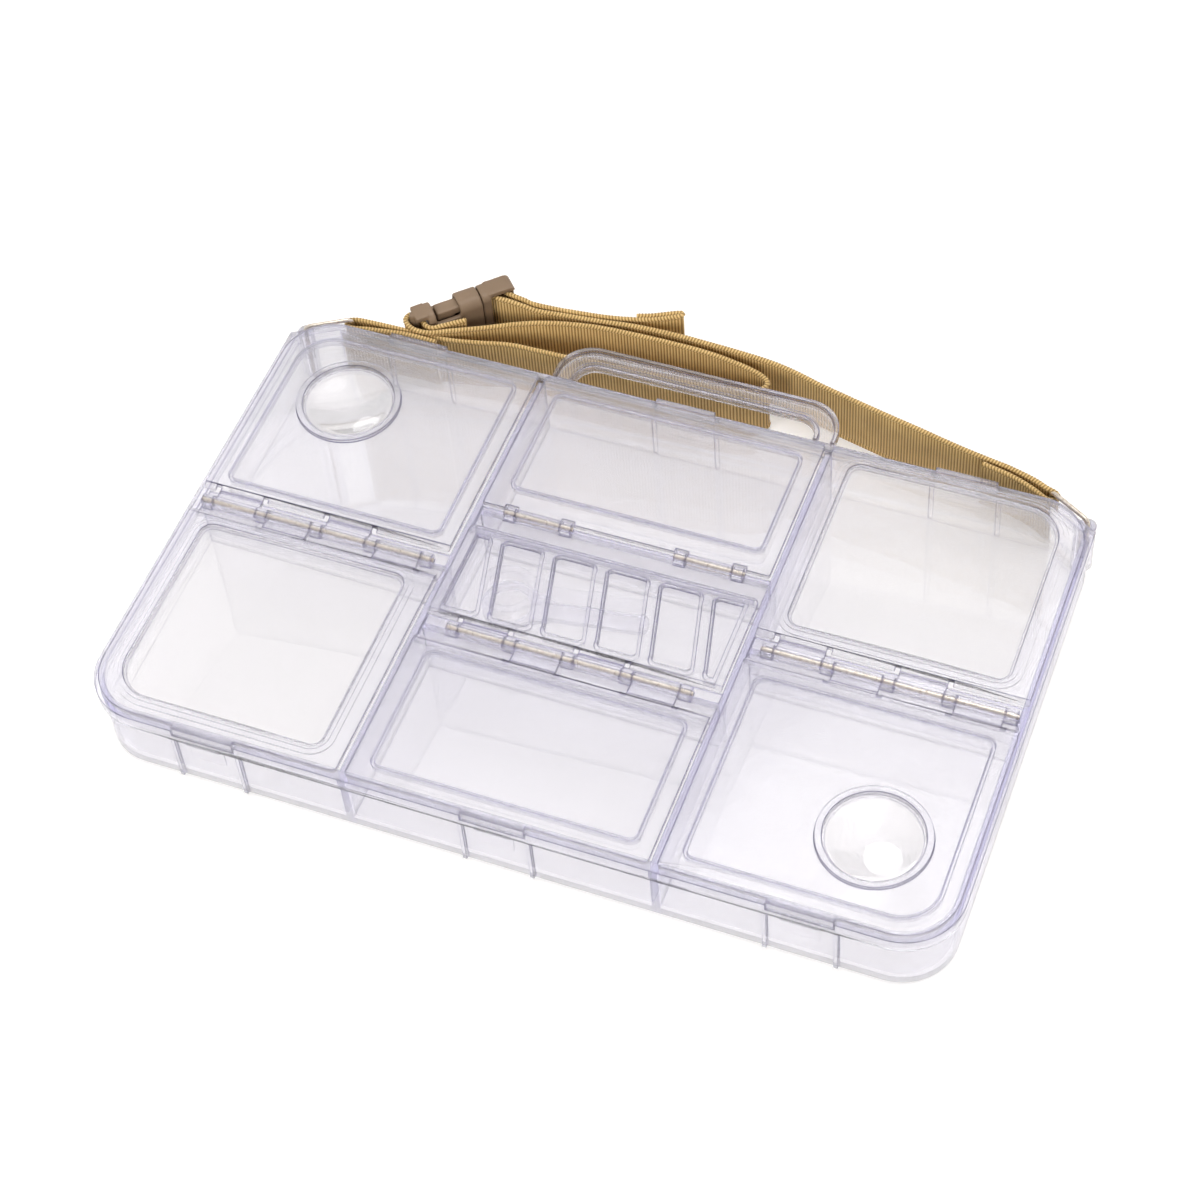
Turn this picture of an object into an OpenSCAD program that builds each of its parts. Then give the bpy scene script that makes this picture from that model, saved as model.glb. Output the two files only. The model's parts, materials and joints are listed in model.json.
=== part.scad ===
// Clear mineral specimen box: one tray of seven compartments, seven hinged lids in three columns,
// magnifier windows, a carry handle and a buckled webbing strap on two wire rings.
// Millimetres. X runs along the front, Y towards the back, Z up. The origin is the middle of the
// tray's underside. Lids are drawn shut.

/* [Tray] */
// Width of the tray over its rim
tray_w = 319; // [300:1:340]
// Depth of the tray over its rim, front to back
tray_d = 195; // [187:1:215]
// Height of the tray to the top of its rim
tray_h = 29; // [27:0.5:40]
// Thickness of the outer walls
wall = 2.2; // [1.6:0.1:3]
// Thickness of the floor
floor_t = 2; // [1.2:0.1:3]
// Height of the rim band
rim_h = 5.7; // [4.5:0.1:8]
// How far the rim band stands out from the wall
rim_out = 1.7; // [1.4:0.1:2.4]
// Radius of the two front corners, on the rim
front_r = 22; // [16:1:30]
// Length that each back corner loses along the back edge
corner_cut = 17.5; // [12:0.5:18]
// Distance from the middle to each divider between columns
divider_x = 57; // [52:0.5:62]
// Thickness of each divider
divider_t = 2.6; // [1.6:0.1:4]
// Depth of the divider's top edge below the rim
divider_drop = 1; // [0.6:0.1:2]
// Thickness of the walls under the hinges
cross_t = 2.2; // [1.6:0.1:3]

/* [Hinges] */
// Place of the hinge line of the two side columns, from the middle
side_hinge_y = 0.5; // [-6:0.5:6]
// Place of the hinge line in front of the centre compartment
front_hinge_y = -25.5; // [-30:0.5:-22]
// Place of the hinge line behind the centre compartment
back_hinge_y = 29.5; // [26:0.5:34]
// Diameter of the steel hinge pins
pin_d = 1.6; // [1.2:0.1:2]
// Diameter of the knuckles round the pins
knuckle_d = 4.4; // [4:0.1:4.6]
// Height of the pin axis above the rim
pin_lift = 0.6; // [0.5:0.1:0.9]
// Gap between a divider and the nearest post of the side hinge
post_inner = 4.6; // [2:0.1:8]
// Gap between the outer wall and the nearest post of the side hinge
post_outer = 0.5; // [0.3:0.1:4]
// Length of each post along the pin
post_w = 4.2; // [3:0.1:6]
// Gap between a post and the knuckle beside it
end_play = 0.2; // [0.15:0.05:0.4]
// Radial clearance of a pin in a lid's knuckle, where it turns
run_fit = 0.05; // [0.03:0.01:0.1]
// Radial clearance of a pin in a tray post, where it is held
hold_fit = 0.02; // [0.01:0.01:0.04]
// Length of pin that shows past the last post
pin_end = 0.4; // [0.2:0.1:1]
// Thickness of the flat rails under the hinges
rail_t = 1.6; // [1.2:0.1:2.4]
// Gap between the knuckles and the rail below
rail_gap = 0.2; // [0.15:0.05:0.4]
// Reach of the side rails each way from the hinge line
side_rail = 6; // [4:0.5:7]
// Reach of the two middle rails away from the centre compartment
outer_rail = 8; // [6:0.5:8]
// Reach of the middle rails over the centre compartment: front rail, then back ledge
inner_rail = 5; // [3:0.5:6]
// Reach of the back ledge over the centre compartment, on which the centre lid lies
ledge_rail = 11; // [10.5:0.5:12]
// Reach of the back ledge behind its hinge line
ledge_back = 2; // [1.5:0.5:4]

/* [Lids] */
// Thickness of the lid plates
lid_t = 1.8; // [1.5:0.1:2.4]
// Gap between the rim and a closed lid
lid_gap = 0.2; // [0.15:0.05:0.3]
// Distance from the side of the rim to the lids
lid_side = 2; // [1.8:0.1:4]
// Distance from the front and back of the rim to the lids
lid_end = 1.7; // [1.5:0.1:3]
// Half of the gap between the lids of neighbouring columns
lid_part = 1.5; // [1:0.1:2.5]
// Radius of the lids' outer front corners
lid_front_r = 20; // [14:1:26]
// Radius of the lids' outer back corners
lid_back_r = 19; // [18:1:26]
// Radius of the lids' other far corners
lid_r = 2; // [1:0.5:4]
// Radius of the lids' corners at the hinge
near_r = 1; // [0.6:0.1:1.2]
// Distance from the hinge line to the side columns' lids
side_setback = 5.2; // [4.8:0.1:7]
// Distance from the hinge line to the front middle lid
front_setback = 6.5; // [5:0.1:8]
// Distance from the hinge line to the centre lid
centre_setback = 3.4; // [3.2:0.1:4.5]
// Distance from the hinge line to the back middle lid
back_setback = 1; // [0.9:0.1:1.4]
// Distance from the back middle lid's hinge line to the centre lid
centre_gap = 9.8; // [8.5:0.1:10.3]
// Depth of the bevel on a lid's edge at the hinge
edge_bevel = 1.4; // [1.2:0.1:1.5]
// Width of that bevel
edge_bevel_w = 2; // [1.8:0.1:2.4]
// Width and depth of the reliefs beside each knuckle
relief = 1.8; // [1:0.1:2]
// Depth of the sealing rib under a lid
seal_h = 2.7; // [1.5:0.1:3.5]
// Thickness of the sealing rib
seal_t = 1.2; // [0.8:0.1:2]
// Distance from the lid's side edges to the sealing rib
seal_side = 6.1; // [5.6:0.1:8]
// Distance from the lid's outer edge to the sealing rib
seal_end = 6.5; // [5.6:0.1:9]
// Distance from the hinge line to the sealing rib
seal_near = 11; // [10.5:0.1:14]

/* [Latches] */
// Width of the lid's latch tab
tab_w = 23.4; // [18:0.1:30]
// Thickness of the latch tab
tab_t = 1.5; // [1:0.1:1.6]
// How far the tab hangs below the lid
tab_drop = 2.8; // [2:0.1:3.2]
// Clearance round the tab in its notch
tab_fit = 0.3; // [0.15:0.05:0.5]
// Distance between the two ribs beside each latch
rib_span = 25; // [20:0.5:30]
// Width of those ribs
rib_w = 1.6; // [1:0.1:3]
// Height of the ribs' lower ends above the floor the box stands on
rib_start = 1; // [0.5:0.1:4]
// How far the ribs stand out from the wall
rib_out = 1.5; // [0.8:0.1:1.5]
// Width of the catch and of the thin panel below it
catch_w = 13.3; // [8:0.1:16]
// Height of the catch bar
catch_h = 1; // [0.6:0.1:1.4]
// How far the catch bar stands out from the rim
catch_out = 0.5; // [0.3:0.1:1]
// Height of the thin panel's lower edge
panel_z = 14.2; // [8:0.1:18]
// How far the thin panel stands out from the wall
panel_out = 0.4; // [0.2:0.1:0.6]

/* [Round magnifiers] */
// Outer diameter of the raised ring
ring_d = 40; // [38:0.5:46]
// Height of the raised ring above the lid
ring_h = 1.6; // [0.8:0.1:2.4]
// Diameter of the lens over its flange
lens_d = 34.8; // [30:0.1:35.6]
// Thickness of the lens's flange
lens_flange = 1.2; // [0.9:0.1:1.4]
// Width of the ledge that the lens sits on
lens_ledge = 1; // [0.6:0.1:1.6]
// Thickness of lid left under the lens's flange
ledge_t = 1; // [0.6:0.1:1.2]
// Height of the lens's upper dome
lens_top = 2.6; // [1.5:0.1:3.5]
// Height of the lens's lower dome
lens_under = 1.8; // [1:0.1:2.4]
// Radial clearance of a lens in its seat
lens_fit = 0.1; // [0.05:0.05:0.3]
// Place of the back left lens from the left edge of its lid
left_lens_x = 35.5; // [30:0.5:60]
// Place of the back left lens from its hinge line
left_lens_y = 59; // [40:0.5:62]
// Place of the front right lens from the right edge of its lid
right_lens_x = 34; // [30:0.5:60]
// Place of the front right lens from its hinge line
right_lens_y = 63; // [40:0.5:64]

/* [Window magnifiers] */
// Distance from the lid's outer side edge to the window
window_side = 9; // [8:0.1:14]
// Distance from the lid's inner side edge to the window
window_inner = 8.7; // [8:0.1:14]
// Distance from the lid's far edge to the window
window_end = 6.8; // [6.4:0.1:12]
// Distance from the hinge line to the window
window_near = 11.5; // [11.2:0.1:16]
// Radius of the window's outer corner
window_r = 14; // [8:0.5:18]
// Radius of the window's other corners
window_small_r = 5; // [3:0.5:8]
// Width of the upper step round the window
step_w = 1.8; // [1:0.1:2.2]
// Width that the lower step adds
low_step_w = 1.8; // [1:0.1:2.2]
// Height of each step
step_h = 0.7; // [0.4:0.1:1]
// Height of the window's dome
window_dome = 2; // [1:0.1:3]

/* [Centre lid] */
// Width of each well in the centre lid
well_w = 14.7; // [10:0.1:16]
// Distance from one well to the next
well_pitch = 20.3; // [18:0.1:24]
// How far each well leans along the lid
well_lean = 8.2; // [0:0.1:12]
// Depth of the wells
well_depth = 2; // [1:0.1:2.2]
// Thickness of the wells' floors and sides
well_t = 1.2; // [0.8:0.1:1.4]
// Distance from the hinge line to the wells
well_near = 7.9; // [7:0.1:12]
// Distance from the lid's far edge to the wells
well_far = 3.7; // [3.4:0.1:8]
// Distance from the lid's side edges to the wells
well_side = 4.5; // [4:0.1:8]
// Radius of the wells' corners
well_r = 2; // [1:0.1:3]
// Place of the left edge of the well in the middle
well_x = -0.4; // [-4:0.1:2]

/* [Carry handle] */
// Place of the handle's middle along the back edge
handle_x = 2; // [-20:0.5:20]
// Width of the handle
handle_w = 112; // [90:1:130]
// How far the handle reaches behind the rim
handle_reach = 18; // [15:0.5:18]
// Width of the handle's bow
handle_bow = 8.5; // [7:0.1:8.8]
// Radius of the handle's outer corners
handle_r = 14; // [10:0.5:15]
// Height of the handle's edges
handle_h = 4.4; // [3.6:0.1:5]
// Thickness of the handle's web between its edges
handle_web = 2; // [1.2:0.1:3]
// Width of each edge
handle_edge = 1.6; // [1:0.1:2.4]
// Height of the handle's underside
handle_z = 25.6; // [25.5:0.1:26]

/* [Strap rings] */
// Diameter of the ring's wire
wire_d = 1.8; // [1.4:0.1:2]
// Distance between the ring's upright legs
loop_w = 18.4; // [16:0.1:20]
// Height of the ring's lower bar
loop_low = 1; // [0.9:0.1:1.1]
// Height of the ring's upper bar
loop_high = 28.4; // [28.3:0.1:29]
// Diameter of the boss that holds the ring
boss_d = 6.6; // [5:0.1:7]
// Clearance of the ring in its boss
loop_fit = 0.2; // [0.1:0.05:0.3]
// Distance from the side of the rim to the boss
boss_in = 4; // [3.5:0.1:5]
// Distance from the back of the rim to the boss
boss_back = 5.5; // [5:0.1:7]

/* [Strap] */
// Width of the webbing
web_w = 25; // [20:0.5:25]
// Thickness of the webbing
web_t = 1.5; // [1:0.1:1.6]

/* [Buckle] */
// Width of the buckle
buckle_w = 30; // [29.6:0.2:34]
// Thickness of the buckle
buckle_t = 11; // [9:0.5:11]
// Length of the buckle's socket half
socket_l = 28.6; // [26:0.2:32]
// Thickness of the socket's shell at its edges
shell_t = 1.6; // [1.2:0.1:2]
// Length of the webbing slot in the socket half
slot_l = 3; // [2.8:0.1:3.4]
// Length of the bar that the webbing goes round
bar_l = 3.4; // [3:0.1:3.4]
// Length of the plug half's body
plug_l = 14; // [13.8:0.1:16]
// Length of the plug's arms
arm_l = 18.5; // [16:0.1:18.8]
// Clearance of the arms in the socket
arm_fit = 0.3; // [0.2:0.05:0.5]
// How far the plug half pulls out of the socket half
pull = 14; // [10:1:16]

/* [Hand lens] */
// Outer diameter of the hand lens's ring
loupe_d = 21; // [18:0.5:24]
// Diameter of its lens
loupe_lens_d = 16; // [12:0.5:17]
// Width of its handle
loupe_handle_w = 7.5; // [5:0.5:9]
// Length of its handle from the ring's middle
loupe_l = 52; // [40:1:60]
// Thickness of its ring
loupe_t = 3; // [2:0.1:3.2]

/* [Hidden] */

$fn = 64;
// Overlap that makes a cut or a join clean
eps = 0.01;
// Depth to which one solid is sunk into another of the same piece
sink = 0.5;
// Fineness of large arcs
fine = 128;

clear_colour = [0.86, 0.86, 0.92, 0.45];
lens_colour = [0.8, 0.86, 0.95, 0.5];
steel_colour = [0.78, 0.76, 0.72];
webbing_colour = [0.66, 0.55, 0.33];
buckle_colour = [0.41, 0.33, 0.26];

half_w = tray_w / 2;
half_d = tray_d / 2;
inner_skin = rim_out + wall;
rim_z = tray_h - rim_h;
cut_angle = 30;
cut_back = corner_cut * tan(cut_angle);
// Distance of the cut corner's line from the origin
cut_line = half_w * sin(cut_angle) + (half_d - cut_back) * cos(cut_angle);

pin_z = tray_h + pin_lift;
knuckle_r = knuckle_d / 2;
rail_top = pin_z - knuckle_r - rail_gap;
rail_z = rail_top - rail_t;
divider_top = tray_h - divider_drop;
// Five posts stand across each side column, and the middle column's posts keep their pitch
column_in = divider_x + divider_t / 2;
column_out = half_w - inner_skin;
post_pitch = (column_out - column_in - post_inner - post_outer - post_w) / 4;
hinge_x = column_in + post_inner + post_w / 2 + 2 * post_pitch;
knuckle_l = post_pitch - post_w - 2 * end_play;
pin_half = 2 * post_pitch + post_w / 2 + pin_end;
short_pin_start = post_pitch - post_w / 2 - pin_end;
side_posts = [-2, -1, 0, 1, 2];
back_posts = [-2, -1, 1, 2];
// Places of the knuckles, in halves of the post pitch
back_lid_knuckles = [-1.5, 0.5];
front_lid_knuckles = [-0.5, 1.5];
back_middle_knuckles = [-1.5, 1.5];

lid_z = tray_h + lid_gap;
lid_top = lid_z + lid_t;
lid_far = half_d - lid_end;
lid_out = half_w - lid_side;
lid_in = divider_x + lid_part;
middle_half = divider_x - lid_part;
side_lid_w = lid_out - lid_in;
centre_far = back_hinge_y - centre_gap - front_hinge_y;
// Top and underside of a knuckle's arm, from the pin axis
arm_over = 0.2;
arm_under = 1.6;
post_clear = 0.4;

notch_z = lid_z - tab_drop - tab_fit;

lens_seat_z = lid_z + ledge_t;
window_seat_z = lid_z + ledge_t - 0.2;
window_flange = lid_t;
window_ledge = 1.2;
window_w = side_lid_w - window_side - window_inner;

handle_step = (handle_h - handle_web) / 2;
boss_pos = [half_w - boss_in, half_d - boss_back];
// The ring's far leg lies along the cut corner from the boss
leg_pos = boss_pos + loop_w * [-cos(cut_angle), sin(cut_angle)];
boss_z = 3;
boss_top = 26;

// The buckle lies at a slant behind the back left corner
buckle_pos = [-half_w + 41, half_d + 11.5];
buckle_angle = 43.5;
buckle_rail = 2.3;
buckle_r = 4;
bar_r = 1.6;
frame_t = 8;
socket_back = 2.6;
window_l = 10;
// Height of the waist's edges from the buckle's edges, between the back block and the collar
waist = 5;
plug_gap = 0.4;
plug_block = 3.6;
plug_bar_d = 3;
plug_bar_s = 7.5;
plug_end_l = 1.6;
arm_t = 3.2;
tongue_t = 4;
cavity_t = 6.8;

loupe_pos = [-37.5, 7.5];
loupe_angle = 8;
loupe_neck = 17;

// Height of the webbing's lower edge in the open, at the rings and in the buckle
low_edge = 0.2;
ring_edge = 2.1;
buckle_edge = 2.5;

// Rectangle with its own radius at each corner: front left, front right, back right, back left
module rounded_rect(x0, x1, y0, y1, r) {
    centres = [[x0 + r[0], y0 + r[0]], [x1 - r[1], y0 + r[1]],
        [x1 - r[2], y1 - r[2]], [x0 + r[3], y1 - r[3]]];
    polygon([[x0, y0 + r[0]], [x0 + r[0], y0], [x1 - r[1], y0], [x1, y0 + r[1]],
        [x1, y1 - r[2]], [x1 - r[2], y1], [x0 + r[3], y1], [x0, y1 - r[3]]]);
    for (i = [0:3])
        translate(centres[i])
            circle(r = r[i]);
}

// Outline of the tray, drawn in from the rim: round front corners, cut back corners
module tray_outline(inset) {
    cut = cut_line - inset;
    side_y = (cut - (half_w - inset) * sin(cut_angle)) / cos(cut_angle);
    back_x = (cut - (half_d - inset) * cos(cut_angle)) / sin(cut_angle);
    polygon([[-half_w + inset, -half_d + front_r], [-half_w + front_r, -half_d + inset],
        [half_w - front_r, -half_d + inset], [half_w - inset, -half_d + front_r],
        [half_w - inset, side_y], [back_x, half_d - inset],
        [-back_x, half_d - inset], [-half_w + inset, side_y]]);
    for (side = [-1, 1])
        translate([side * (half_w - front_r), -half_d + front_r])
            circle(r = front_r - inset, $fn = fine);
}

// Cylinder along X, centred on a hinge line
module rod(x, y, z, r, length) {
    translate([x - length / 2, y, z])
        rotate([0, 90, 0])
            cylinder(r = r, h = length);
}

// The seven compartments seen from above
module pockets() {
    inner = divider_x - divider_t / 2;
    outer = divider_x + divider_t / 2;
    for (side = [-1, 1])
        for (end = [-1, 1])
            translate([side > 0 ? outer : -outer - half_w,
                end > 0 ? side_hinge_y + cross_t / 2 : side_hinge_y - cross_t / 2 - tray_d])
                square([half_w, tray_d]);
    translate([-inner, back_hinge_y + cross_t / 2])
        square([2 * inner, tray_d]);
    translate([-inner, front_hinge_y + cross_t / 2])
        square([2 * inner, back_hinge_y - front_hinge_y - cross_t]);
    translate([-inner, front_hinge_y - cross_t / 2 - tray_d])
        square([2 * inner, tray_d]);
}

// The three columns seen from above
module columns() {
    inner = divider_x - divider_t / 2;
    outer = divider_x + divider_t / 2;
    translate([-inner, -half_d])
        square([2 * inner, tray_d]);
    for (side = [-1, 1])
        translate([side > 0 ? outer : -outer - half_w, -half_d])
            square([half_w, tray_d]);
}

// Flat rail across one column, under its hinge
module rail(x0, x1, hinge_y, front, back) {
    translate([x0 - sink, hinge_y - front, rail_z])
        cube([x1 - x0 + 2 * sink, front + back, rail_t]);
}

// Posts that hold a hinge pin
module posts(x, hinge_y, places) {
    for (p = places) {
        rod(x + p * post_pitch, hinge_y, pin_z, knuckle_r, post_w);
        translate([x + p * post_pitch - post_w / 2, hinge_y - knuckle_r, rail_top - sink])
            cube([post_w, knuckle_d, pin_z - rail_top + sink]);
    }
}

// Ribs, thin panel and catch of one latch, drawn for the back wall
module latch_front(x) {
    wall_y = half_d - rim_out;
    for (side = [-1, 1])
        translate([x + side * rib_span / 2 - rib_w / 2, wall_y - sink, rib_start])
            cube([rib_w, sink + rib_out, rim_z - rib_start + sink]);
    translate([x - catch_w / 2, wall_y - sink, panel_z])
        cube([catch_w, sink + panel_out, rim_z - panel_z + sink]);
    translate([x - catch_w / 2, half_d - sink, rim_z + 0.1])
        cube([catch_w, sink + catch_out, catch_h]);
}

// Notch in the rim for a lid's tab, drawn for the back wall
module latch_notch(x) {
    width = tab_w + 2 * tab_fit;
    translate([x - width / 2, half_d - tab_t - tab_fit, notch_z])
        cube([width, tab_t + tab_fit + sink, tray_h]);
}

module at_each_latch() {
    for (x = [-hinge_x, 0, hinge_x])
        for (end = [0, 1])
            mirror([0, end, 0])
                translate([x, 0, 0])
                    children();
}

// Boss at a cut back corner, with the web that joins it to the wall
module boss(side) {
    web = 3;
    web_l = 5;
    translate([side * boss_pos[0], boss_pos[1], boss_z]) {
        cylinder(d = boss_d, h = boss_top - boss_z);
        rotate([0, 0, side > 0 ? 180 + 90 - cut_angle : 90 + cut_angle - 180])
            translate([0, -web / 2, 0])
                cube([web_l, web, boss_top - boss_z]);
    }
}

module tray() color(clear_colour) difference() {
    middle_in = divider_x - divider_t / 2;
    union() {
        difference() {
            union() {
                linear_extrude(rim_z)
                    tray_outline(rim_out);
                translate([0, 0, rim_z])
                    linear_extrude(rim_h)
                        tray_outline(0);
                at_each_latch()
                    latch_front(0);
                for (side = [-1, 1])
                    boss(side);
            }
            translate([0, 0, floor_t])
                linear_extrude(tray_h)
                    intersection() {
                        tray_outline(inner_skin);
                        pockets();
                    }
            translate([0, 0, rail_top])
                linear_extrude(tray_h)
                    intersection() {
                        tray_outline(inner_skin);
                        columns();
                    }
            translate([0, 0, divider_top])
                linear_extrude(tray_h)
                    tray_outline(inner_skin);
            at_each_latch()
                latch_notch(0);
        }
        for (side = [-1, 1]) {
            rail(side > 0 ? column_in : -column_out, side > 0 ? column_out : -column_in,
                side_hinge_y, side_rail, side_rail);
            posts(side * hinge_x, side_hinge_y, side_posts);
        }
        rail(-middle_in, middle_in, front_hinge_y, outer_rail, inner_rail);
        rail(-middle_in, middle_in, back_hinge_y, ledge_rail, ledge_back);
        posts(0, front_hinge_y, side_posts);
        posts(0, back_hinge_y, back_posts);
    }
    for (side = [-1, 1]) {
        rod(side * hinge_x, side_hinge_y, pin_z, pin_d / 2 + hold_fit, 2 * pin_half + 2);
        translate([side * boss_pos[0], boss_pos[1], boss_z - 1])
            cylinder(d = wire_d + 2 * loop_fit, h = boss_top);
    }
    rod(0, front_hinge_y, pin_z, pin_d / 2 + hold_fit, 2 * pin_half + 2);
    rod(0, back_hinge_y, pin_z, pin_d / 2 + hold_fit, 2 * pin_half + 2);
}

// Bow of the handle, drawn in from its outer edge, past the rim's face
module bow(inset) {
    translate([handle_x, half_d - eps])
        intersection() {
            rounded_rect(-handle_w / 2 + inset, handle_w / 2 - inset, -tray_h,
                handle_reach - inset, [1, 1, handle_r - inset * 0.7, handle_r - inset * 0.7]);
            translate([-handle_w, eps])
                square([2 * handle_w, tray_h]);
        }
}

module carry_handle() color(clear_colour) {
    translate([0, 0, handle_z + handle_step])
        linear_extrude(handle_web)
            difference() {
                bow(0);
                bow(handle_bow);
            }
    translate([0, 0, handle_z])
        linear_extrude(handle_h) {
            difference() {
                bow(0);
                bow(handle_edge);
            }
            difference() {
                bow(handle_bow - handle_edge);
                bow(handle_bow);
            }
        }
}

// A lid is drawn with its hinge line on Y = 0 and its plate behind it, then put in its place.
// facing is 1 for a lid behind its hinge line and -1 for one in front of it
module at_hinge(hinge_y, facing) {
    translate([0, hinge_y, 0])
        mirror([0, facing > 0 ? 0 : 1, 0])
            children();
}

// Knuckles and their arms, out to the lid's edge
module knuckles(x, setback, places) {
    for (p = places) {
        rod(x + p * post_pitch, 0, pin_z, knuckle_r, knuckle_l);
        translate([x + p * post_pitch - knuckle_l / 2, 0, pin_z - arm_under])
            cube([knuckle_l, setback + sink, arm_under + arm_over]);
    }
}

// Reliefs in the lid's edge beside each knuckle
module reliefs(x, setback, places) {
    for (p = places)
        for (side = [-1, 1])
            translate([x + p * post_pitch + side * (knuckle_l + relief) / 2 - relief / 2,
                setback - sink, lid_z - sink])
                cube([relief, relief + sink, lid_t + 2 * sink]);
}

// Bevel along the lid's top edge at the hinge
module near_bevel(x0, x1, setback) {
    translate([x0 - sink, setback, lid_top])
        rotate([90, 0, 90])
            linear_extrude(x1 - x0 + 2 * sink)
                polygon([[-sink, -edge_bevel - sink * edge_bevel / edge_bevel_w], [-sink, sink],
                    [edge_bevel_w + sink * edge_bevel_w / edge_bevel, sink]]);
}

// Latch tab at the lid's far edge
module tab(x, far) {
    translate([x - tab_w / 2, far - sink, lid_z])
        cube([tab_w, lid_end + sink, lid_t]);
    translate([x - tab_w / 2, far + lid_end - tab_t, lid_z - tab_drop])
        cube([tab_w, tab_t, tab_drop + sink]);
}

// Sealing rib under a lid
module seal(x0, x1, y0, y1, r) {
    inner_r = [for (a = r) max(a - seal_t, 0.5)];
    translate([0, 0, lid_z - seal_h])
        linear_extrude(seal_h + sink)
            difference() {
                rounded_rect(x0, x1, y0, y1, r);
                rounded_rect(x0 + seal_t, x1 - seal_t, y0 + seal_t, y1 - seal_t, inner_r);
            }
}

module pin_bore(x, places) {
    for (p = places)
        rod(x + p * post_pitch, 0, pin_z, pin_d / 2 + run_fit, knuckle_l + 2);
}

// Plate, knuckles and tab that every lid of the two side columns has. side is -1 or 1
module side_lid(side, facing, places) {
    x0 = side > 0 ? lid_in : -lid_out;
    x1 = side > 0 ? lid_out : -lid_in;
    far = lid_far - facing * side_hinge_y;
    outer_r = facing > 0 ? lid_back_r : lid_front_r;
    difference() {
        union() {
            difference() {
                translate([0, 0, lid_z])
                    linear_extrude(lid_t)
                        rounded_rect(x0, x1, side_setback, far,
                            [near_r, near_r, side > 0 ? outer_r : lid_r, side > 0 ? lid_r : outer_r]);
                near_bevel(x0, x1, side_setback);
                reliefs(side * hinge_x, side_setback, places);
            }
            knuckles(side * hinge_x, side_setback, places);
            tab(side * hinge_x, far);
            children();
        }
        pin_bore(side * hinge_x, places);
    }
}

// Sealing rib of a side column's lid
module side_seal(side, facing) {
    far = lid_far - facing * side_hinge_y - seal_end;
    x0 = (side > 0 ? lid_in : -lid_out) + seal_side;
    x1 = (side > 0 ? lid_out : -lid_in) - seal_side;
    seal(x0, x1, seal_near, far, [4, 4, side > 0 ? 15 : 4, side > 0 ? 4 : 15]);
}

// Lid with a round magnifier at x, y
module round_lens_lid(side, facing, places, x, y) {
    difference() {
        side_lid(side, facing, places) {
            side_seal(side, facing);
            translate([x, y, lid_top - sink])
                cylinder(d = ring_d, h = ring_h + sink);
        }
        translate([x, y, lid_z - 1])
            cylinder(d = lens_d - 2 * lens_ledge, h = tray_h);
        translate([x, y, lens_seat_z])
            cylinder(d = lens_d + 2 * lens_fit, h = tray_h);
    }
}

// Outline of a window magnifier, grown by the given amount
module window_outline(side, facing, grow) {
    far = lid_far - facing * side_hinge_y - window_end;
    x0 = side > 0 ? lid_in + window_inner : -lid_out + window_side;
    outer_r = window_r + grow;
    small_r = window_small_r + grow;
    rounded_rect(x0 - grow, x0 + window_w + grow, window_near - grow, far + grow,
        [small_r, small_r, side > 0 ? outer_r : small_r, side > 0 ? small_r : outer_r]);
}

// Lid with a window magnifier in a stepped frame
module window_lid(side, facing, places) {
    difference() {
        side_lid(side, facing, places) {
            translate([0, 0, lid_top - sink])
                linear_extrude(step_h + sink)
                    window_outline(side, facing, step_w + low_step_w);
            translate([0, 0, lid_top - sink])
                linear_extrude(2 * step_h + sink)
                    window_outline(side, facing, step_w);
        }
        translate([0, 0, lid_z - 1])
            linear_extrude(tray_h)
                window_outline(side, facing, -window_ledge);
        translate([0, 0, window_seat_z])
            linear_extrude(tray_h)
                window_outline(side, facing, 0);
    }
}

module lid_back_left() color(clear_colour) at_hinge(side_hinge_y, 1)
    round_lens_lid(-1, 1, back_lid_knuckles, -lid_out + left_lens_x, left_lens_y);

module lid_front_right() color(clear_colour) at_hinge(side_hinge_y, -1)
    round_lens_lid(1, -1, front_lid_knuckles, lid_out - right_lens_x, right_lens_y);

module lid_front_left() color(clear_colour) at_hinge(side_hinge_y, -1)
    window_lid(-1, -1, front_lid_knuckles);

module lid_back_right() color(clear_colour) at_hinge(side_hinge_y, 1)
    window_lid(1, 1, back_lid_knuckles);

// Plate, knuckles, tab and sealing rib of the two outer lids of the middle column
module middle_lid(setback, far, places, seal_from) {
    difference() {
        union() {
            translate([0, 0, lid_z])
                linear_extrude(lid_t)
                    rounded_rect(-middle_half, middle_half, setback, far,
                        [near_r, near_r, lid_r, lid_r]);
            seal(-middle_half + seal_side, middle_half - seal_side, seal_from, far - seal_end,
                [4, 4, 4, 4]);
            tab(0, far);
        }
        children();
    }
    difference() {
        knuckles(0, setback, places);
        pin_bore(0, places);
    }
}

module lid_front_middle() color(clear_colour) at_hinge(front_hinge_y, -1)
    middle_lid(front_setback, lid_far + front_hinge_y, front_lid_knuckles, seal_near) {
        near_bevel(-middle_half, middle_half, front_setback);
        reliefs(0, front_setback, front_lid_knuckles);
    }

module lid_back_middle() color(clear_colour) at_hinge(back_hinge_y, 1)
    middle_lid(back_setback, lid_far - back_hinge_y, back_middle_knuckles, seal_near) {
        for (p = back_posts)
            translate([p * post_pitch - post_w / 2 - post_clear, 0, lid_z - sink])
                cube([post_w + 2 * post_clear, knuckle_r + post_clear, lid_t + 2 * sink]);
        pin_bore(0, back_middle_knuckles);
    }

// Outline of a leaning well, grown by the given amount, with arcs at its four corners
function corner_arc(c, r, from, to, steps) =
    [for (i = [0:steps]) c + r * [cos(from + (to - from) * i / steps), sin(from + (to - from) * i / steps)]];

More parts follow.
